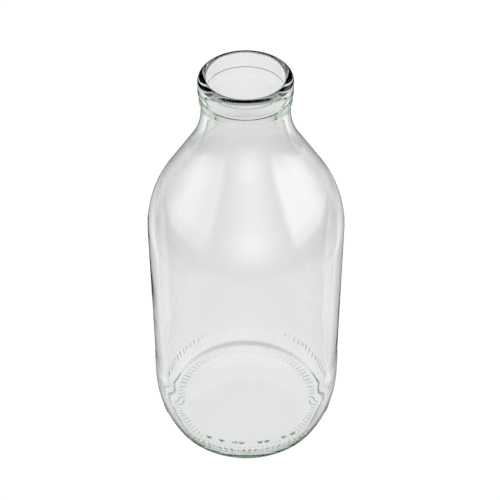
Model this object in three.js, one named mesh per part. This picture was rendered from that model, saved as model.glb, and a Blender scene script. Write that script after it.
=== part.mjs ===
// One-pint glass milk bottle with a rolled lip for a crimped foil cap.
//
// The bottle is one blown piece of glass, so it is one solid of revolution about Z. Its outline runs
// from the centre of the push-up underneath, out over the bearing ring, up the outside to the lip,
// over the lip, and down the inside to the centre of the floor.
//
// Units are millimetres, +Z is up, and the origin is at the centre of the bearing ring's plane.

import * as THREE from 'three';

// Overall size
const HEIGHT = 179;
const BODY_RADIUS = 39.5;

// Base: a ring that the bottle stands on, round a shallow domed push-up
const BEARING_INNER_RADIUS = 28;
const PUSH_UP_RISE = 4;
const FLOOR_RISE = 3;
const FLOOR_EDGE_HEIGHT = 4.3;
const INNER_CORNER_RADIUS = 3.5;

// Heel: a small corner, then one long arc up to a contact band just proud of the body
const CORNER_RADIUS = 3;
const HEEL_RADIUS = 52;
const HEEL_TURN = radians(25.5);
const CONTACT_BAND_PROUD = 0.3;
const CONTACT_BAND_TOP = 30;
const BODY_START = 40;

// Shoulder and neck: a convex arc and a concave arc joined by a straight cone
const SHOULDER_START = 106;
const SHOULDER_RADIUS = 43.6;
const CONE_SLOPE = radians(31.9);
const NECK_RADIUS = 16.8;
const NECK_ARC_RADIUS = 36;

// Finish: a collar, a groove and the rolled bead that the foil is crimped under
const COLLAR_RADIUS = 17.5;
const COLLAR_BOTTOM = 168.2;
const COLLAR_TOP = 171.3;
const COLLAR_CHAMFER = 0.7;
const GROOVE_RADIUS = 17.1;
const GROOVE_HEIGHT = 171.7;
const BEAD_BOTTOM = 172.3;
const BEAD_RADIUS = 17.85;
const BEAD_MIDDLE = 176.5;
const LIP_LAND_INNER_RADIUS = 15.2;
const LIP_LAND_WIDTH = 0.5;
const LIP_INNER_ROUND = 0.6;
const LIP_INNER_FALL = 1.2;
const BORE_DEPTH = 8;

// Glass thickness
const BODY_WALL = 1.9;
const NECK_WALL = 3;

// Fineness: flats round the bottle, and steps along each kind of arc
const SEGMENTS = 72;
const LONG_ARC_STEPS = 5;
const SHORT_ARC_STEPS = 3;

const FULL_TURN = 2 * Math.PI;
const QUARTER_TURN = Math.PI / 2;

function radians(degrees) {
  return (degrees * Math.PI) / 180;
}

// Points along an arc or a quarter ellipse in the (radius, height) half-plane, both ends included.
function arc(centreRadius, centreHeight, radiusAcross, radiusUp, from, to, steps) {
  const points = [];
  for (let i = 0; i <= steps; i += 1) {
    const angle = from + ((to - from) * i) / steps;
    const r = centreRadius + radiusAcross * Math.cos(angle);
    const z = centreHeight + radiusUp * Math.sin(angle);
    points.push(new THREE.Vector2(r, z));
  }
  return points;
}

// A shallow spherical cap seen in section: from its centre on the axis out to its edge.
function dome(edgeRadius, edgeHeight, rise) {
  const sphere = (edgeRadius * edgeRadius + rise * rise) / (2 * rise);
  const edgeAngle = Math.asin(edgeRadius / sphere);
  const centreHeight = edgeHeight + rise - sphere;
  const points = arc(
    0, centreHeight, sphere, sphere, QUARTER_TURN, QUARTER_TURN - edgeAngle, SHORT_ARC_STEPS,
  );
  points[0].x = 0;
  return points;
}

// Where the straight cone leaves the shoulder and where it meets the neck arc. The neck's narrowest
// height follows from them, so that the cone is tangent to both arcs.
const shoulderCentreRadius = BODY_RADIUS - SHOULDER_RADIUS;
const neckCentreRadius = NECK_RADIUS + NECK_ARC_RADIUS;
const coneBottomRadius = shoulderCentreRadius + SHOULDER_RADIUS * Math.cos(CONE_SLOPE);
const coneBottomHeight = SHOULDER_START + SHOULDER_RADIUS * Math.sin(CONE_SLOPE);
const coneTopRadius = neckCentreRadius - NECK_ARC_RADIUS * Math.cos(CONE_SLOPE);
const coneTopHeight = coneBottomHeight + (coneBottomRadius - coneTopRadius) / Math.tan(CONE_SLOPE);
const neckHeight = coneTopHeight + NECK_ARC_RADIUS * Math.sin(CONE_SLOPE);

function shoulder(wall) {
  const radius = SHOULDER_RADIUS - wall;
  return arc(shoulderCentreRadius, SHOULDER_START, radius, radius, 0, CONE_SLOPE, LONG_ARC_STEPS);
}

function neck(wall) {
  const radius = NECK_ARC_RADIUS + wall;
  return arc(
    neckCentreRadius, neckHeight, radius, radius, Math.PI + CONE_SLOPE, Math.PI, LONG_ARC_STEPS,
  );
}

// The heel's arc, which the inside follows at the same wall thickness as the body.
const bandRadius = BODY_RADIUS + CONTACT_BAND_PROUD;
const heelCentreHeight = HEEL_RADIUS * Math.sin(HEEL_TURN) + CORNER_RADIUS * (1 - Math.sin(HEEL_TURN));
const heelCentreRadius = bandRadius - HEEL_RADIUS;

function outerBase() {
  const cornerCentreRadius = heelCentreRadius + (HEEL_RADIUS - CORNER_RADIUS) * Math.cos(HEEL_TURN);
  const corner = arc(
    cornerCentreRadius, CORNER_RADIUS, CORNER_RADIUS, CORNER_RADIUS, -QUARTER_TURN, -HEEL_TURN,
    SHORT_ARC_STEPS,
  );
  const heel = arc(
    heelCentreRadius, heelCentreHeight, HEEL_RADIUS, HEEL_RADIUS, -HEEL_TURN, 0, LONG_ARC_STEPS,
  );
  return [...dome(BEARING_INNER_RADIUS, 0, PUSH_UP_RISE), ...corner, ...heel.slice(1)];
}

function outerBody() {
  return [
    new THREE.Vector2(bandRadius, CONTACT_BAND_TOP),
    new THREE.Vector2(BODY_RADIUS, BODY_START),
    ...shoulder(0),
    ...neck(0),
  ];
}

function finish() {
  const landOuterRadius = LIP_LAND_INNER_RADIUS + LIP_LAND_WIDTH;
  const boreRadius = LIP_LAND_INNER_RADIUS - LIP_INNER_ROUND;
  const beadRoll = arc(
    landOuterRadius, BEAD_MIDDLE, BEAD_RADIUS - landOuterRadius, HEIGHT - BEAD_MIDDLE, 0, QUARTER_TURN,
    LONG_ARC_STEPS,
  );
  const lipRound = arc(
    LIP_LAND_INNER_RADIUS, HEIGHT - LIP_INNER_FALL, LIP_INNER_ROUND, LIP_INNER_FALL,
    QUARTER_TURN, Math.PI, SHORT_ARC_STEPS,
  );
  return [
    new THREE.Vector2(COLLAR_RADIUS, COLLAR_BOTTOM + COLLAR_CHAMFER),
    new THREE.Vector2(COLLAR_RADIUS, COLLAR_TOP),
    new THREE.Vector2(GROOVE_RADIUS, GROOVE_HEIGHT),
    new THREE.Vector2(BEAD_RADIUS, BEAD_BOTTOM),
    ...beadRoll,
    ...lipRound,
    new THREE.Vector2(boreRadius, HEIGHT - BORE_DEPTH),
  ];
}

function inside() {
  const innerHeel = HEEL_RADIUS - BODY_WALL;
  const cornerHeight = FLOOR_EDGE_HEIGHT + INNER_CORNER_RADIUS;
  const reach = innerHeel - INNER_CORNER_RADIUS;
  const turn = Math.asin((heelCentreHeight - cornerHeight) / reach);
  const cornerRadius = heelCentreRadius + reach * Math.cos(turn);
  const heel = arc(
    heelCentreRadius, heelCentreHeight, innerHeel, innerHeel, 0, -turn, LONG_ARC_STEPS,
  );
  const corner = arc(
    cornerRadius, cornerHeight, INNER_CORNER_RADIUS, INNER_CORNER_RADIUS, -turn, -QUARTER_TURN,
    SHORT_ARC_STEPS,
  );
  const floor = dome(cornerRadius, FLOOR_EDGE_HEIGHT, FLOOR_RISE);
  return [
    ...neck(NECK_WALL).reverse(),
    ...shoulder(BODY_WALL).reverse(),
    new THREE.Vector2(BODY_RADIUS - BODY_WALL, BODY_START),
    ...heel,
    ...corner.slice(1),
    ...floor.reverse().slice(1),
  ];
}

// LatheGeometry turns its outline about Y, so the result is tipped up to stand along Z.
function bottleGeometry() {
  const outline = [...outerBase(), ...outerBody(), ...finish(), ...inside()];
  const geometry = new THREE.LatheGeometry(outline, SEGMENTS, 0, FULL_TURN);
  geometry.rotateX(QUARTER_TURN);
  return geometry;
}

const clearGlass = new THREE.MeshStandardMaterial({
  color: 0xe4ebe7,
  roughness: 0.04,
  metalness: 0,
  transparent: true,
  opacity: 0.35,
});

const glassBottle = new THREE.Mesh(bottleGeometry(), clearGlass);
glassBottle.name = 'glass_bottle';

const bottle = new THREE.Group();
bottle.add(glassBottle);

export default bottle;
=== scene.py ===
"""Looks of a clear one-pint glass milk bottle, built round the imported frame.

The bottle is one piece of glass, so it is one closed mesh turned about Z: the outside, the lip, the
bore and the inside. Its outline is made of arcs and rounded corners in millimetres. Small relief (the
knurled bearing ring, plain marks and dashes on the heel, mould seams and the slight unevenness of
blown glass) moves the surface along its own normal.
"""

import math

import bpy
import numpy as np
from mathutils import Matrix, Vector


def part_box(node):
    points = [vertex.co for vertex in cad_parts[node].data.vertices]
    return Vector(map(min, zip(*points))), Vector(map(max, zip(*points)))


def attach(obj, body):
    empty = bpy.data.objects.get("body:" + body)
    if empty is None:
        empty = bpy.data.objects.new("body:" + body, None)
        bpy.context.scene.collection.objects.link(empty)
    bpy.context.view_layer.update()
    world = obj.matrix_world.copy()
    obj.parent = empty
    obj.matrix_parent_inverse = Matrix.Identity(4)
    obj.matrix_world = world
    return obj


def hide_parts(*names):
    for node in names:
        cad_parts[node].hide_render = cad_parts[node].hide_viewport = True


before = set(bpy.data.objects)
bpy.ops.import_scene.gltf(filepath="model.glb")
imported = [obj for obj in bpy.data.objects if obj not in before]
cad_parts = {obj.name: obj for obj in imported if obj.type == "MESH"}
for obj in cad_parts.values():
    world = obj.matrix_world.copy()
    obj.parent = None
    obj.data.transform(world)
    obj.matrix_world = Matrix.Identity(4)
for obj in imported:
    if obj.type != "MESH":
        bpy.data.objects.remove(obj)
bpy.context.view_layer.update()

MM = 0.001
NODE = "glass_bottle"
cad_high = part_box(NODE)[1]

# Driving sizes of the bottle, in millimetres. The frame gives the height and the widest radius.
HEIGHT = cad_high.z / MM
CONTACT_BAND_PROUD = 0.3
BODY_RADIUS = cad_high.x / MM - CONTACT_BAND_PROUD

BEARING_INNER_RADIUS = 28.0
PUSH_UP_RISE = 4.0
CORNER_RADIUS = 3.0
HEEL_RADIUS = 52.0
HEEL_TURN = math.radians(25.5)
HEEL_RELIEF_TOP = 18.6
CONTACT_BAND_TOP = 30.0
BAND_EASE_STEPS = 8
BODY_START = 40.0

SHOULDER_START = 106.0
SHOULDER_RADIUS = 43.6
CONE_SLOPE = math.radians(31.9)
NECK_RADIUS = 16.8
NECK_ARC_RADIUS = 36.0

COLLAR_RADIUS = 17.5
COLLAR_BOTTOM = 168.2
COLLAR_TOP = 171.3
COLLAR_SLOPE_DROP = 0.9
GROOVE_RADIUS = 17.1
GROOVE_HEIGHT = 171.7
BEAD_RADIUS = 17.85
BEAD_BOTTOM = 172.1
BEAD_MIDDLE = 176.5
FINISH_ROUNDS = [0.8, 0.4, 0.3, 0.25, 0.7]
LIP_CREST_RADIUS = 15.2
BORE_RADIUS = 14.6
LIP_INNER_FALL = 1.2
BORE_BOTTOM = 171.0
LEDGE_ROUND = 3.0
THROAT_ROUND = 4.0
THROAT_RUN = 0.5

BODY_WALL = 1.9
NECK_WALL = 3.0
INNER_CORNER_RADIUS = 3.5
FLOOR_EDGE_HEIGHT = 4.3
FLOOR_RISE = 3.0

# Fineness of the mesh, in millimetres along the outline and in flats round it
FINE_STEP = 0.39
FINISH_STEP = 0.3
SHOULDER_STEP = 1.5
CORNER_STEP = 0.8
BODY_STEP = 2.4
COARSE_FLATS = 180
FINE_FLATS = 4 * COARSE_FLATS
SAME_POINT = 1e-4
ON_AXIS = 1e-6

QUARTER = math.pi / 2
FULL_TURN = 2 * math.pi
DEGREES = math.degrees(1.0)


# Outline helpers: each returns a list of (radius, height) points, both ends included.

def steps_for(length, step):
    """How many equal steps, none longer than step, cover the length."""
    return max(1, math.ceil(length / step))


def line(start, end, step):
    count = steps_for(math.dist(start, end), step)
    return [
        (start[0] + (end[0] - start[0]) * i / count, start[1] + (end[1] - start[1]) * i / count)
        for i in range(count + 1)
    ]


def arc(centre, across, up, start, end, step):
    """Part of an ellipse with radii across and up, between two angles."""
    count = steps_for(abs(end - start) * max(across, up), step)
    angles = [start + (end - start) * i / count for i in range(count + 1)]
    return [(centre[0] + across * math.cos(a), centre[1] + up * math.sin(a)) for a in angles]


def rounded(corners, rounds, step):
    """A line through corners, with corner i + 1 rounded to rounds[i]."""
    path = [corners[0]]
    for before, at, after, radius in zip(corners, corners[1:], corners[2:], rounds):
        at_v = Vector(at)
        back = (Vector(before) - at_v).normalized()
        ahead = (Vector(after) - at_v).normalized()
        half = back.angle(ahead) / 2
        reach = radius / math.tan(half)
        centre = at_v + (back + ahead).normalized() * radius / math.sin(half)
        first = at_v + back * reach - centre
        turn = first.angle_signed(at_v + ahead * reach - centre)
        count = steps_for(abs(turn) * radius, step)
        start = math.atan2(first.y, first.x)
        path += [
            (centre.x + radius * math.cos(start - turn * i / count),
             centre.y + radius * math.sin(start - turn * i / count))
            for i in range(count + 1)
        ]
    path.append(corners[-1])
    fine = [path[0]]
    for start, end in zip(path, path[1:]):
        fine += line(start, end, step)[1:]
    return fine


def joined(*paths):
    """The paths end to end, without points that lie on each other."""
    whole = []
    for path in paths:
        for point in path:
            if not whole or math.dist(whole[-1], point) > SAME_POINT:
                whole.append(point)
    return whole


# The bottle's outline, section by section

shoulder_centre = (BODY_RADIUS - SHOULDER_RADIUS, SHOULDER_START)
cone_bottom = (
    shoulder_centre[0] + SHOULDER_RADIUS * math.cos(CONE_SLOPE),
    shoulder_centre[1] + SHOULDER_RADIUS * math.sin(CONE_SLOPE),
)
cone_top_radius = NECK_RADIUS + NECK_ARC_RADIUS * (1 - math.cos(CONE_SLOPE))
cone_top_height = cone_bottom[1] + (cone_bottom[0] - cone_top_radius) / math.tan(CONE_SLOPE)
neck_centre = (
    NECK_RADIUS + NECK_ARC_RADIUS,
    cone_top_height + NECK_ARC_RADIUS * math.sin(CONE_SLOPE),
)


def dome(edge_radius, edge_height, rise, step):
    """A shallow spherical cap in section, from its centre on the axis out to its edge."""
    sphere = (edge_radius ** 2 + rise ** 2) / (2 * rise)
    centre = (0.0, edge_height + rise - sphere)
    return arc(centre, sphere, sphere, QUARTER, QUARTER - math.asin(edge_radius / sphere), step)


def underside():
    """From the middle of the push-up out to where the fine relief starts."""
    return dome(BEARING_INNER_RADIUS, 0.0, PUSH_UP_RISE, BODY_STEP)


def heel_centre():
    """Middle of the heel's long arc."""
    height = HEEL_RADIUS * math.sin(HEEL_TURN) + CORNER_RADIUS * (1 - math.sin(HEEL_TURN))
    return (BODY_RADIUS + CONTACT_BAND_PROUD - HEEL_RADIUS, height)


def corner_centre():
    """Middle of the small round between the bearing ring and the heel."""
    return (heel_centre()[0] + (HEEL_RADIUS - CORNER_RADIUS) * math.cos(HEEL_TURN), CORNER_RADIUS)


def relief_top_turn():
    """The turn on the heel's arc where its fine relief ends."""
    return math.asin((HEEL_RELIEF_TOP - heel_centre()[1]) / HEEL_RADIUS)


def bearing_and_heel():
    """The knurled ring that the bottle stands on, its corner, and the heel past the marks' top."""
    middle = corner_centre()
    ring = line((BEARING_INNER_RADIUS, 0.0), (middle[0], 0.0), FINE_STEP)
    corner = arc(middle, CORNER_RADIUS, CORNER_RADIUS, -QUARTER, -HEEL_TURN, FINE_STEP)
    heel = arc(heel_centre(), HEEL_RADIUS, HEEL_RADIUS, -HEEL_TURN, relief_top_turn(), FINE_STEP)
    return joined(ring, corner, heel)


def body():
    """The rest of the heel, the contact band, its ease into the body, and the body's straight side."""
    centre = heel_centre()
    band = BODY_RADIUS + CONTACT_BAND_PROUD
    ease = [
        (BODY_RADIUS + CONTACT_BAND_PROUD * (0.5 + 0.5 * math.cos(math.pi * i / BAND_EASE_STEPS)),
         CONTACT_BAND_TOP + (BODY_START - CONTACT_BAND_TOP) * i / BAND_EASE_STEPS)
        for i in range(BAND_EASE_STEPS + 1)
    ]
    return joined(
        arc(centre, HEEL_RADIUS, HEEL_RADIUS, relief_top_turn(), 0.0, SHOULDER_STEP),
        line((band, centre[1]), (band, CONTACT_BAND_TOP), BODY_STEP),
        ease,
        line((BODY_RADIUS, BODY_START), (BODY_RADIUS, SHOULDER_START), BODY_STEP),
    )


def shoulder_and_neck(shoulder_wall, neck_wall):
    """Up the shoulder, the cone and the neck, that much inside the outer surface."""
    bulge = SHOULDER_RADIUS - shoulder_wall
    hollow = NECK_ARC_RADIUS + neck_wall
    shoulder = arc(shoulder_centre, bulge, bulge, 0.0, CONE_SLOPE, SHOULDER_STEP)
    neck = arc(neck_centre, hollow, hollow, math.pi + CONE_SLOPE, math.pi, SHOULDER_STEP)
    return joined(shoulder, line(shoulder[-1], neck[0], SHOULDER_STEP), neck)


def finish_outside():
    """Collar, groove and the rolled bead, up to the crest of the lip."""
    corners = [
        (NECK_RADIUS, neck_centre[1]),
        (NECK_RADIUS, COLLAR_BOTTOM - COLLAR_SLOPE_DROP),
        (COLLAR_RADIUS, COLLAR_BOTTOM),
        (COLLAR_RADIUS, COLLAR_TOP),
        (GROOVE_RADIUS, GROOVE_HEIGHT),
        (BEAD_RADIUS, BEAD_BOTTOM),
        (BEAD_RADIUS, BEAD_MIDDLE),
    ]
    bead = arc(
        (LIP_CREST_RADIUS, BEAD_MIDDLE), BEAD_RADIUS - LIP_CREST_RADIUS, HEIGHT - BEAD_MIDDLE,
        0.0, QUARTER, FINISH_STEP,
    )
    return joined(rounded(corners, FINISH_ROUNDS, FINISH_STEP), bead)


def bore():
    """Over the lip and down the mouth to the neck's narrowest inside."""
    crest = (LIP_CREST_RADIUS, HEIGHT - LIP_INNER_FALL)
    lip = arc(crest, LIP_CREST_RADIUS - BORE_RADIUS, LIP_INNER_FALL, QUARTER, math.pi, FINE_STEP)
    throat = (NECK_RADIUS - NECK_WALL, neck_centre[1])
    taper = rounded(
        [lip[-1], (BORE_RADIUS, BORE_BOTTOM), throat, (throat[0], throat[1] - THROAT_RUN)],
        [LEDGE_ROUND, THROAT_ROUND], SHOULDER_STEP,
    )
    return joined(lip, taper[:-1])


def inner_corner():
    """Middle of the round between the heel's inside and the floor, and the turn where it starts."""
    middle = heel_centre()
    height = FLOOR_EDGE_HEIGHT + INNER_CORNER_RADIUS
    reach = HEEL_RADIUS - BODY_WALL - INNER_CORNER_RADIUS
    turn = math.asin((middle[1] - height) / reach)
    return (middle[0] + reach * math.cos(turn), height), turn


def inside():
    """From the throat down the inside to the middle of the floor."""
    wall_radius = BODY_RADIUS - BODY_WALL
    middle = heel_centre()
    corner_middle, turn = inner_corner()
    inner_heel = HEEL_RADIUS - BODY_WALL
    heel = arc(middle, inner_heel, inner_heel, 0.0, -turn, SHOULDER_STEP)
    corner = arc(
        corner_middle, INNER_CORNER_RADIUS, INNER_CORNER_RADIUS, -turn, -QUARTER, CORNER_STEP,
    )
    floor = dome(corner_middle[0], FLOOR_EDGE_HEIGHT, FLOOR_RISE, BODY_STEP)
    return joined(
        shoulder_and_neck(BODY_WALL, NECK_WALL)[::-1],
        line((wall_radius, SHOULDER_START), (wall_radius, BODY_START), BODY_STEP),
        line((wall_radius, BODY_START), heel[0], BODY_STEP),
        heel,
        corner,
        floor[::-1],
    )


# Relief: how far the surface stands proud of the outline, in millimetres. Angles run from +X towards
# +Y, so the front is at 270 degrees. A pair of values is where a smooth change starts and ends.
KNURLS = 92
KNURL_DEPTH = 0.22
KNURL_INNER_EASE = 0.6
KNURL_OUTER_EASE = (0.2, 1.2)
KNURL_PROFILE = (0.35, 0.9)

# The row of marks repeats bars, rings, pips and one empty place in a mixed order
MARK_MIDDLE = 9.6
MARK_HALF = 1.4
MARK_HEIGHT = 0.26
MARK_PITCH = 2.7
MARK_KINDS = 7
MARK_STRIDE = 5
MARK_SHIFT_EVERY = 4
BAR_KINDS = (0, 3, 5)
RING_KINDS = (1, 4)
PIP_KIND = 6
MARK_GAPS_DEGREES = [(80, 100), (205, 225), (315, 335)]
RING_RADIUS = 0.8
LINE_HALF = 0.26
LINE_EDGE = 0.2

# A dash is a pip drawn out sideways by its stretch
DASH_MIDDLE = 17.3
DASH_HALF = 0.38
DASH_STRETCH = 2.2
DASH_HEIGHT = 0.55
DASH_TURNS_DEGREES = [246.0, 254.5, 262.8, 267.0, 278.3, 282.6, 293.7, 300.0]

SEAM_PROUD = 0.035

# Unevenness of the inside: (size, waves round the bottle, wavelength up it, phase)
INNER_WAVES = [(0.02, 2, 230.0, 0.4), (0.012, 3, -150.0, 2.1), (0.006, 5, 60.0, 4.0)]
INNER_WAVES_START = (14.0, 30.0)
INNER_WAVES_END = (140.0, 165.0)


def smooth(x, low, high):
    """0 below low and 1 above high, with a smooth change between."""
    t = np.clip((x - low) / (high - low), 0.0, 1.0)
    return t * t * (3 - 2 * t)


def knurls(angle, radius, height):
    """Radial bars on the bearing ring: the hollows between them are pressed up into the glass."""
    outer = corner_centre()[0]
    ring = smooth(radius, BEARING_INNER_RADIUS, BEARING_INNER_RADIUS + KNURL_INNER_EASE)
    ring = ring * (1 - smooth(radius, outer + KNURL_OUTER_EASE[0], outer + KNURL_OUTER_EASE[1]))
    ring = ring * (height < CORNER_RADIUS)
    wave = 0.5 - 0.5 * np.cos(KNURLS * angle)
    return -KNURL_DEPTH * ring * smooth(wave, *KNURL_PROFILE)


def stroke(distance, half):
    """1 within half a stroke's width of a line, easing to 0."""
    return 1 - smooth(distance, half, half + LINE_EDGE)


def heel_marks(angle, height):
    """Plain upright bars, rings and pips in a row round the heel, with gaps, none of them a letter."""
    count = round(FULL_TURN * BODY_RADIUS / MARK_PITCH)
    place = angle / FULL_TURN * count
    number = np.floor(place).astype(int)
    along = (place - number - 0.5) * MARK_PITCH
    up = height - MARK_MIDDLE
    bar = stroke(np.abs(along), LINE_HALF) * stroke(abs(up), MARK_HALF)
    ring = stroke(np.abs(np.hypot(along, up) - RING_RADIUS), LINE_HALF)
    pip = stroke(np.hypot(along, up), 2 * LINE_HALF)
    kind = (number * MARK_STRIDE + number // MARK_SHIFT_EVERY) % MARK_KINDS
    mark = bar * np.isin(kind, BAR_KINDS) + ring * np.isin(kind, RING_KINDS) + pip * (kind == PIP_KIND)
    for low, high in MARK_GAPS_DEGREES:
        mark = mark * ((angle < math.radians(low)) | (angle > math.radians(high)))
    return MARK_HEIGHT * mark


def heel_dashes(angle, height):
    """Short raised dashes above the marks, at the front."""
    dashes = 0.0
    for turn in DASH_TURNS_DEGREES:
        along = (angle - math.radians(turn)) * BODY_RADIUS / DASH_STRETCH
        dashes = dashes + stroke(np.hypot(along, height - DASH_MIDDLE), DASH_HALF)
    return DASH_HEIGHT * dashes


def seams(angle, radius, height):
    """The fine ridges at +X and -X where the two halves of the mould meet."""
    from_seam = np.abs((angle + QUARTER) % math.pi - QUARTER)
    return SEAM_PROUD * (1 - smooth(from_seam, 0.0, FULL_TURN / COARSE_FLATS))


def relief(angle, radius, height):
    """All the fine relief of the bearing ring and the heel."""
    return (
        knurls(angle, radius, height) + heel_marks(angle, height) + heel_dashes(angle, height)
        + seams(angle, radius, height) * smooth(height, CORNER_RADIUS, 2 * CORNER_RADIUS)
    )


def waves(angle, height, parts):
    """Slow unevenness: a sum of sines round and up the bottle."""
    proud = 0.0
    for size, turns, wavelength, phase in parts:
        proud = proud + size * np.sin(turns * angle + FULL_TURN * height / wavelength + phase)
    return proud


def inner_relief(angle, radius, height):
    """Unevenness of the inside, fading out at the mouth and the floor."""
    fade = smooth(height, *INNER_WAVES_START) * (1 - smooth(height, *INNER_WAVES_END))
    return fade * waves(angle, height, INNER_WAVES)


# Mesh of revolution with relief

def normals(path):
    """Unit normals to the right of the path, which runs up the outside and down the inside."""
    points = np.array(path)
    along = np.gradient(points, axis=0)
    side = np.stack([along[:, 1], -along[:, 0]], 1)
    return side / np.linalg.norm(side, axis=1)[:, None]


def turned(name, sections):
    """One closed mesh from sections of (path, flats, relief function), first and last on the axis.

    A relief function takes the angles round one ring of points, and the ring's radius and height.
    """
    rows = []
    for path, flats, proud in sections:
        skip = 1 if rows else 0
        rows += [(point, flats, proud) for point in path[skip:]]
    side = normals([row[0] for row in rows])
    verts, starts = [], []
    count = 0
    for ((radius, height), flats, proud), (out, up) in zip(rows, side):
        if radius < ON_AXIS:
            starts.append((count, 1))
            verts.append(np.array([[0.0, 0.0, height]]))
            count += 1
            continue
        starts.append((count, flats))
        angle = np.arange(flats) * (FULL_TURN / flats)
        shift = proud(angle, radius, height) if proud else np.zeros(flats)
        r = radius + out * shift
        verts.append(np.stack([r * np.cos(angle), r * np.sin(angle), height + up * shift], 1))
        count += flats
    faces = []
    for (low, low_n), (high, high_n) in zip(starts, starts[1:]):
        faces += strip(low, low_n, high, high_n)
    mesh = bpy.data.meshes.new(name)
    mesh.from_pydata((np.concatenate(verts) * MM).tolist(), [], faces)
    mesh.shade_smooth()
    mesh.validate()
    piece = bpy.data.objects.new(name, mesh)
    bpy.context.scene.collection.objects.link(piece)
    return piece


def strip(low, low_n, high, high_n):
    """Faces between two rings of vertices that start at low and high."""
    if low_n == 1:
        return [(low, high + (i + 1) % high_n, high + i) for i in range(high_n)]
    if high_n == 1:
        return [(low + i, low + (i + 1) % low_n, high) for i in range(low_n)]
    if low_n == high_n:
        return [
            (low + i, low + (i + 1) % low_n, high + (i + 1) % low_n, high + i) for i in range(low_n)
        ]
    faces = []
    few = min(low_n, high_n)
    many = max(low_n, high_n)
    each = many // few
    middle = each // 2
    for i in range(few):
        after = (i + 1) % few
        fan = [(i * each + k) % many for k in range(each + 1)]
        first = list(zip(fan[:middle], fan[1:middle + 1]))
        second = list(zip(fan[middle:], fan[middle + 1:]))
        if low_n > high_n:
            faces += [(low + a, low + b, high + i) for a, b in first]
            faces.append((low + fan[middle], high + after, high + i))
            faces += [(low + a, low + b, high + after) for a, b in second]
        else:
            faces += [(low + i, high + b, high + a) for a, b in first]
            faces.append((low + i, low + after, high + fan[middle]))
            faces += [(low + after, high + b, high + a) for a, b in second]
    return faces


# Node helpers

def maths(tree, operation, *values):
    """One math node on numbers or sockets."""
    node = tree.nodes.new("ShaderNodeMath")
    node.operation = operation
    for socket, value in zip(node.inputs, values):
        if isinstance(value, (int, float)):
            socket.default_value = value
        else:
            tree.links.new(value, socket)
    return node.outputs[0]


def ramp(tree, value, start, end):
    """0 at start and 1 at end, smoothly; start may be above end."""
    node = tree.nodes.new("ShaderNodeMapRange")
    node.interpolation_type = "SMOOTHSTEP"
    tree.links.new(value, node.inputs["Value"])
    if start <= end:
        node.inputs["From Min"].default_value = start
        node.inputs["From Max"].default_value = end
        return node.outputs[0]
    node.inputs["From Min"].default_value = end
    node.inputs["From Max"].default_value = start
    return minus(tree, 1.0, node.outputs[0])


def product(tree, *values):
    result = values[0]
    for value in values[1:]:
        result = maths(tree, "MULTIPLY", result, value)
    return result


def total(tree, *values):
    result = values[0]
    for value in values[1:]:
        result = maths(tree, "ADD", result, value)
    return result


def minus(tree, first, second):
    return maths(tree, "SUBTRACT", first, second)


def dimmed(tree, where, glow):
    """1 where the mask is 0, and glow where it is 1."""
    return minus(tree, 1.0, product(tree, where, 1.0 - glow))


# The glass. Texture scales are per metre; heights and bump depths are in metres. A pair of heights or
# of noise levels is where a smooth change starts and ends.
GLASS_IOR = 1.52
TINT_COLOUR = (0.60, 0.80, 0.63, 1.0)
TINT_DENSITY = 16.0
WHITE = (1.0, 1.0, 1.0, 1.0)
RIPPLE_SCALE = 75.0
RIPPLE_DEPTH = 0.00002
RIPPLE_DETAIL = 1.0
CHILL_SCALE = 420.0
CHILL_DEPTH = 0.0000008
CHILL_DETAIL = 2.0
SCUFF_LOW = (0.020, 0.024)
SCUFF_HIGH = (0.037, 0.031)
SCUFF_SCALE = (1400.0, 1400.0, 260.0)
SCUFF_DETAIL = 3.0
SCUFF_SHARE = (0.60, 0.74)
SCUFF_ROUGHNESS = 0.16
FOOT_TOP = (0.0006, 0.0001)
FOOT_SCALE = 900.0
FOOT_DETAIL = 2.0
FOOT_SHARE = (0.35, 0.65)
FOOT_ROUGHNESS = 0.3


def noise(tree, place, scale, detail):
    """Soft noise between 0 and 1; scale may be one number or one for each axis."""
    node = tree.nodes.new("ShaderNodeTexNoise")
    node.inputs["Detail"].default_value = detail
    if isinstance(scale, tuple):
        stretch = tree.nodes.new("ShaderNodeMapping")
        stretch.inputs["Scale"].default_value = scale
        tree.links.new(place, stretch.inputs["Vector"])
        place, scale = stretch.outputs[0], 1.0
    node.inputs["Scale"].default_value = scale
    tree.links.new(place, node.inputs["Vector"])
    return node.outputs[0]


def bump(tree, height, depth, normal=None):
    """A bump that many metres deep, on top of another one where normal is given."""
    node = tree.nodes.new("ShaderNodeBump")
    node.inputs["Distance"].default_value = depth
    tree.links.new(height, node.inputs["Height"])
    if normal:
        tree.links.new(normal, node.inputs["Normal"])
    return node.outputs[0]


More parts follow.
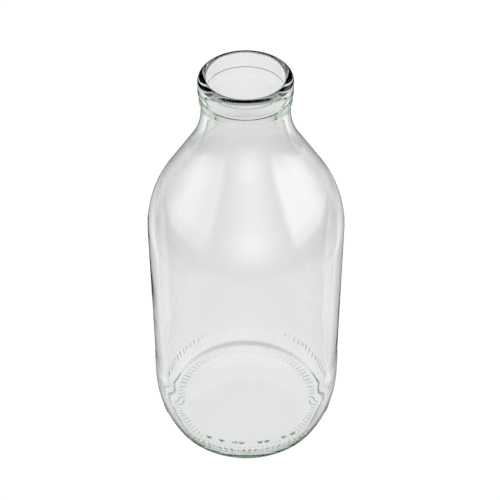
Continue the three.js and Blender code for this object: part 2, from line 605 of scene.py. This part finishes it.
def clear_glass():
    """Clear soda-lime glass, wavy from blowing, with a faint chilled skin from the mould.

    Crates rub fine upright flecks into the contact band, and tables rub the bearing ring dull. Thick
    glass is faintly green.
    """
    material = bpy.data.materials.new("clear_glass")
    material.use_nodes = True
    tree = material.node_tree
    shader = tree.nodes["Principled BSDF"]
    shader.inputs["Base Color"].default_value = WHITE
    shader.inputs["IOR"].default_value = GLASS_IOR
    shader.inputs["Transmission Weight"].default_value = 1.0

    place = tree.nodes.new("ShaderNodeTexCoord").outputs["Object"]
    split = tree.nodes.new("ShaderNodeSeparateXYZ")
    tree.links.new(place, split.inputs[0])
    height = split.outputs["Z"]

    wavy = bump(tree, noise(tree, place, RIPPLE_SCALE, RIPPLE_DETAIL), RIPPLE_DEPTH)
    skin = bump(tree, noise(tree, place, CHILL_SCALE, CHILL_DETAIL), CHILL_DEPTH, wavy)
    tree.links.new(skin, shader.inputs["Normal"])

    scuffs = product(
        tree, ramp(tree, height, *SCUFF_LOW), ramp(tree, height, *SCUFF_HIGH),
        ramp(tree, noise(tree, place, SCUFF_SCALE, SCUFF_DETAIL), *SCUFF_SHARE), SCUFF_ROUGHNESS,
    )
    foot = product(
        tree, ramp(tree, height, *FOOT_TOP),
        ramp(tree, noise(tree, place, FOOT_SCALE, FOOT_DETAIL), *FOOT_SHARE), FOOT_ROUGHNESS,
    )
    tree.links.new(total(tree, scuffs, foot), shader.inputs["Roughness"])

    tint = tree.nodes.new("ShaderNodeVolumeAbsorption")
    tint.inputs["Color"].default_value = TINT_COLOUR
    tint.inputs["Density"].default_value = TINT_DENSITY
    tree.links.new(tint.outputs[0], tree.nodes["Material Output"].inputs["Volume"])
    return material


def make_bottle():
    """The one piece of glass. It casts no shadow, so the floor stays plain round it."""
    piece = turned("milk_bottle_glass", [
        (underside(), COARSE_FLATS, None),
        (bearing_and_heel(), FINE_FLATS, relief),
        (body(), COARSE_FLATS, seams),
        (shoulder_and_neck(0.0, 0.0), COARSE_FLATS, seams),
        (finish_outside(), COARSE_FLATS, None),
        (bore(), COARSE_FLATS, None),
        (inside(), COARSE_FLATS, inner_relief),
    ])
    piece.data.materials.append(clear_glass())
    piece.visible_shadow = False
    piece.visible_diffuse = False
    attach(piece, "root")
    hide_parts(NODE)


# Camera, at the photograph's viewing angle. Its distances are in body radii.

CAMERA_TILT = math.radians(42.31)
CAMERA_TURN = math.radians(0.215)
CAMERA_BACK = 10.787
CAMERA_UP = 12.151
LENS = 101.5
SENSOR_WIDTH = 36.0


def make_camera():
    data = bpy.data.cameras.new("camera")
    data.sensor_width = SENSOR_WIDTH
    data.lens = LENS
    camera = bpy.data.objects.new("camera", data)
    radius = BODY_RADIUS * MM
    camera.location = (0.0, -CAMERA_BACK * radius, CAMERA_UP * radius)
    camera.rotation_euler = (QUARTER - CAMERA_TILT, 0.0, -CAMERA_TURN)
    bpy.context.scene.collection.objects.link(camera)
    bpy.context.scene.camera = camera


FLOOR_REACH = 6.0
FLOOR_PAINT = (0.95, 0.95, 0.95, 1.0)


def square(name, height, reach):
    """A flat square that isn't part of the object."""
    mesh = bpy.data.meshes.new(name)
    corners = [
        (-reach, -reach, height), (reach, -reach, height),
        (reach, reach, height), (-reach, reach, height),
    ]
    mesh.from_pydata(corners, [], [(0, 1, 2, 3)])
    plane = bpy.data.objects.new(name, mesh)
    bpy.context.scene.collection.objects.link(plane)
    return plane


def make_floor():
    """The pale floor. The glass neither shows nor mirrors it, but the studio's light from below."""
    floor = square("floor", 0.0, FLOOR_REACH)
    material = bpy.data.materials.new("floor_paint")
    material.use_nodes = True
    shader = material.node_tree.nodes["Principled BSDF"]
    shader.inputs["Base Color"].default_value = FLOOR_PAINT
    shader.inputs["Roughness"].default_value = 1.0
    shader.inputs["Specular IOR Level"].default_value = 0.0
    floor.data.materials.append(material)
    floor.visible_transmission = False
    floor.visible_glossy = False


# Studio light. No real studio has it: each way that light takes to the eye has a brightness of its
# own. The ways are straight through the glass, through it after a reflection inside the wall
# (carried), mirrored by it, and without meeting it. The values were set by comparing renders from the
# camera's own view with the photograph, so they suit that view best. Directions are in degrees:
# azimuth from +Y, behind the bottle, towards +X, and elevation from the horizon. A pair is where a
# smooth change starts and ends, and may run downwards.

EDGE = 3.0

# Straight through the glass: a pale sweep all round and below, dimmer far below
SWEEP_TOP = 68.0
THROUGH_GLOW = 0.9
BELOW_DIM = (-56.0, -70.0)
BELOW_GLOW = 0.7

# Carried by the wall: the sweep behind the bottle, from low down to above the horizon, and wider
# above the horizon than below it
GUIDED_RANGE = (-82.0, 34.0)
GUIDED_HALF = (56.0, 48.0)
GUIDED_SIDE = (120.0, 90.0)
GUIDED_SIDE_TOP = (-38.0, -46.0)
GUIDED_SIDE_GLOW = 0.4
GUIDED_UPPER_HALF = (95.0, 82.0)
GUIDED_UPPER_START = (-14.0, -4.0)
GUIDED_UPPER_ASIDE = (42.0, 56.0)
GUIDED_UPPER_ASIDE_GLOW = 0.8
GUIDED_GLOW = 0.95
GUIDED_DIM = (-30.0, -24.0)
GUIDED_DIM_END = (-12.0, -6.0)
GUIDED_DIM_GLOW = 0.72
GUIDED_LOW = (-46.0, -58.0)
GUIDED_LOW_GLOW = 0.66

# Soft boxes at the left, the right and the front, which carried and mirrored light both show
BOX_LOW_EDGE = (-10.0, -1.0)
BOX_LOW_SHARE = 0.6
BOX_GRADE = (0.0, 14.0)
BOX_TOP = (48.0, 42.0)
BOX_CARRIED = 0.75
BOX_MIRRORED = 1.35
LEFT_INNER = (-142.0, -131.0)
LEFT_SOFTER = (-98.0, -122.0)
LEFT_SOFTER_GLOW = 0.6
LEFT_FADE = (-55.0, -92.0)
LEFT_GLOW = 1.75
RIGHT_INNER = (131.0, 121.0)
RIGHT_FADE = (35.0, 85.0)
RIGHT_GLOW = 2.1
FRONT_AZIMUTH = 172.0
FRONT_HALF = 46.0
FRONT_LOW = (-30.0, 14.0)
FRONT_TOP = (38.0, 20.0)
FRONT_GLOW = 1.7

# The pale table at the sides and in front, in mirrored light only
TABLE_SIDE = (38.0, 62.0)
TABLE_TOP = (-18.0, -36.0)
TABLE_GLOW = 1.1

# Everything that is lit or seen without the glass
STUDIO_WHITE = 1.1

HALF_TURN_DEGREES = 180.0

# A count of reflections above this is at least one
ANY_REFLECTION = 0.5


def band(tree, value, low, high):
    """1 between low and high, with soft edges."""
    return product(
        tree, ramp(tree, value, low - EDGE, low + EDGE), ramp(tree, value, high + EDGE, high - EDGE),
    )


def soft_boxes(tree, azimuth, elevation):
    """The boxes at the left, the right and the front: brighter towards their upper ends."""
    rise = total(
        tree, product(tree, ramp(tree, elevation, *BOX_LOW_EDGE), BOX_LOW_SHARE),
        product(tree, ramp(tree, elevation, *BOX_GRADE), 1.0 - BOX_LOW_SHARE),
    )
    high = product(tree, rise, ramp(tree, elevation, *BOX_TOP))
    left = product(
        tree, high, ramp(tree, azimuth, *LEFT_INNER), ramp(tree, azimuth, *LEFT_FADE),
        dimmed(tree, ramp(tree, azimuth, *LEFT_SOFTER), LEFT_SOFTER_GLOW), LEFT_GLOW,
    )
    right = product(
        tree, high, ramp(tree, azimuth, *RIGHT_INNER), ramp(tree, azimuth, *RIGHT_FADE), RIGHT_GLOW,
    )
    turn = minus(tree, azimuth, FRONT_AZIMUTH)
    turn = maths(tree, "WRAP", turn, HALF_TURN_DEGREES, -HALF_TURN_DEGREES)
    from_front = maths(tree, "ABSOLUTE", turn)
    front = product(
        tree, ramp(tree, from_front, FRONT_HALF, 0.0), ramp(tree, elevation, *FRONT_LOW),
        ramp(tree, elevation, *FRONT_TOP), FRONT_GLOW,
    )
    return total(tree, left, right, front)


def carried_by_wall(tree, azimuth, elevation):
    """What the wall carries from the sweep: wide above the horizon and narrower below it."""
    aside = maths(tree, "ABSOLUTE", azimuth)
    low = maths(
        tree, "MAXIMUM", ramp(tree, aside, *GUIDED_HALF),
        product(
            tree, ramp(tree, aside, *GUIDED_SIDE), ramp(tree, elevation, *GUIDED_SIDE_TOP),
            GUIDED_SIDE_GLOW,
        ),
    )
    upper = product(
        tree, ramp(tree, aside, *GUIDED_UPPER_HALF), ramp(tree, elevation, *GUIDED_UPPER_START),
        dimmed(tree, ramp(tree, aside, *GUIDED_UPPER_ASIDE), GUIDED_UPPER_ASIDE_GLOW),
    )
    dim = product(
        tree, ramp(tree, elevation, *GUIDED_DIM),
        minus(tree, 1.0, ramp(tree, elevation, *GUIDED_DIM_END)),
    )
    return product(
        tree, maths(tree, "MAXIMUM", low, upper), band(tree, elevation, *GUIDED_RANGE),
        dimmed(tree, dim, GUIDED_DIM_GLOW), GUIDED_GLOW,
        dimmed(tree, ramp(tree, elevation, *GUIDED_LOW), GUIDED_LOW_GLOW),
    )


def make_world():
    """The studio, as one background whose brightness follows the direction and the kind of ray."""
    world = bpy.data.worlds.new("studio")
    world.use_nodes = True
    tree = world.node_tree
    direction = tree.nodes.new("ShaderNodeTexCoord")
    split = tree.nodes.new("ShaderNodeSeparateXYZ")
    tree.links.new(direction.outputs["Generated"], split.inputs[0])
    x, y, z = split.outputs
    azimuth = product(tree, maths(tree, "ARCTAN2", x, y), DEGREES)
    elevation = product(tree, maths(tree, "ARCSINE", z), DEGREES)

    table = product(
        tree, ramp(tree, maths(tree, "ABSOLUTE", azimuth), *TABLE_SIDE),
        ramp(tree, elevation, *TABLE_TOP), TABLE_GLOW,
    )
    boxes = soft_boxes(tree, azimuth, elevation)
    straight = product(
        tree, ramp(tree, elevation, SWEEP_TOP + EDGE, SWEEP_TOP - EDGE), THROUGH_GLOW,
        dimmed(tree, ramp(tree, elevation, *BELOW_DIM), BELOW_GLOW),
    )
    carried = total(
        tree, product(tree, boxes, BOX_CARRIED), carried_by_wall(tree, azimuth, elevation),
    )

    rays = tree.nodes.new("ShaderNodeLightPath")
    through = rays.outputs["Is Transmission Ray"]
    bounced = maths(tree, "GREATER_THAN", rays.outputs["Glossy Depth"], ANY_REFLECTION)
    not_through = minus(tree, 1.0, through)
    mirrored = product(tree, rays.outputs["Is Glossy Ray"], not_through)
    mirror_image = total(tree, product(tree, boxes, BOX_MIRRORED), table)
    light = total(
        tree,
        product(tree, through, minus(tree, 1.0, bounced), straight),
        product(tree, through, bounced, carried),
        product(tree, mirrored, mirror_image),
        product(tree, minus(tree, not_through, mirrored), STUDIO_WHITE),
    )
    tree.links.new(light, tree.nodes["Background"].inputs["Strength"])
    tree.nodes["Background"].inputs["Color"].default_value = WHITE
    bpy.context.scene.world = world


MAX_BOUNCES = 32
GLOSSY_BOUNCES = 16


def set_film():
    """Colours as lit, with no film curve, and enough bounces for light to get out of the glass."""
    scene = bpy.context.scene
    scene.view_settings.view_transform = "Standard"
    scene.cycles.max_bounces = MAX_BOUNCES
    scene.cycles.transmission_bounces = MAX_BOUNCES
    scene.cycles.glossy_bounces = GLOSSY_BOUNCES
    scene.cycles.use_denoising = True


make_camera()
make_bottle()
make_floor()
make_world()
set_film()
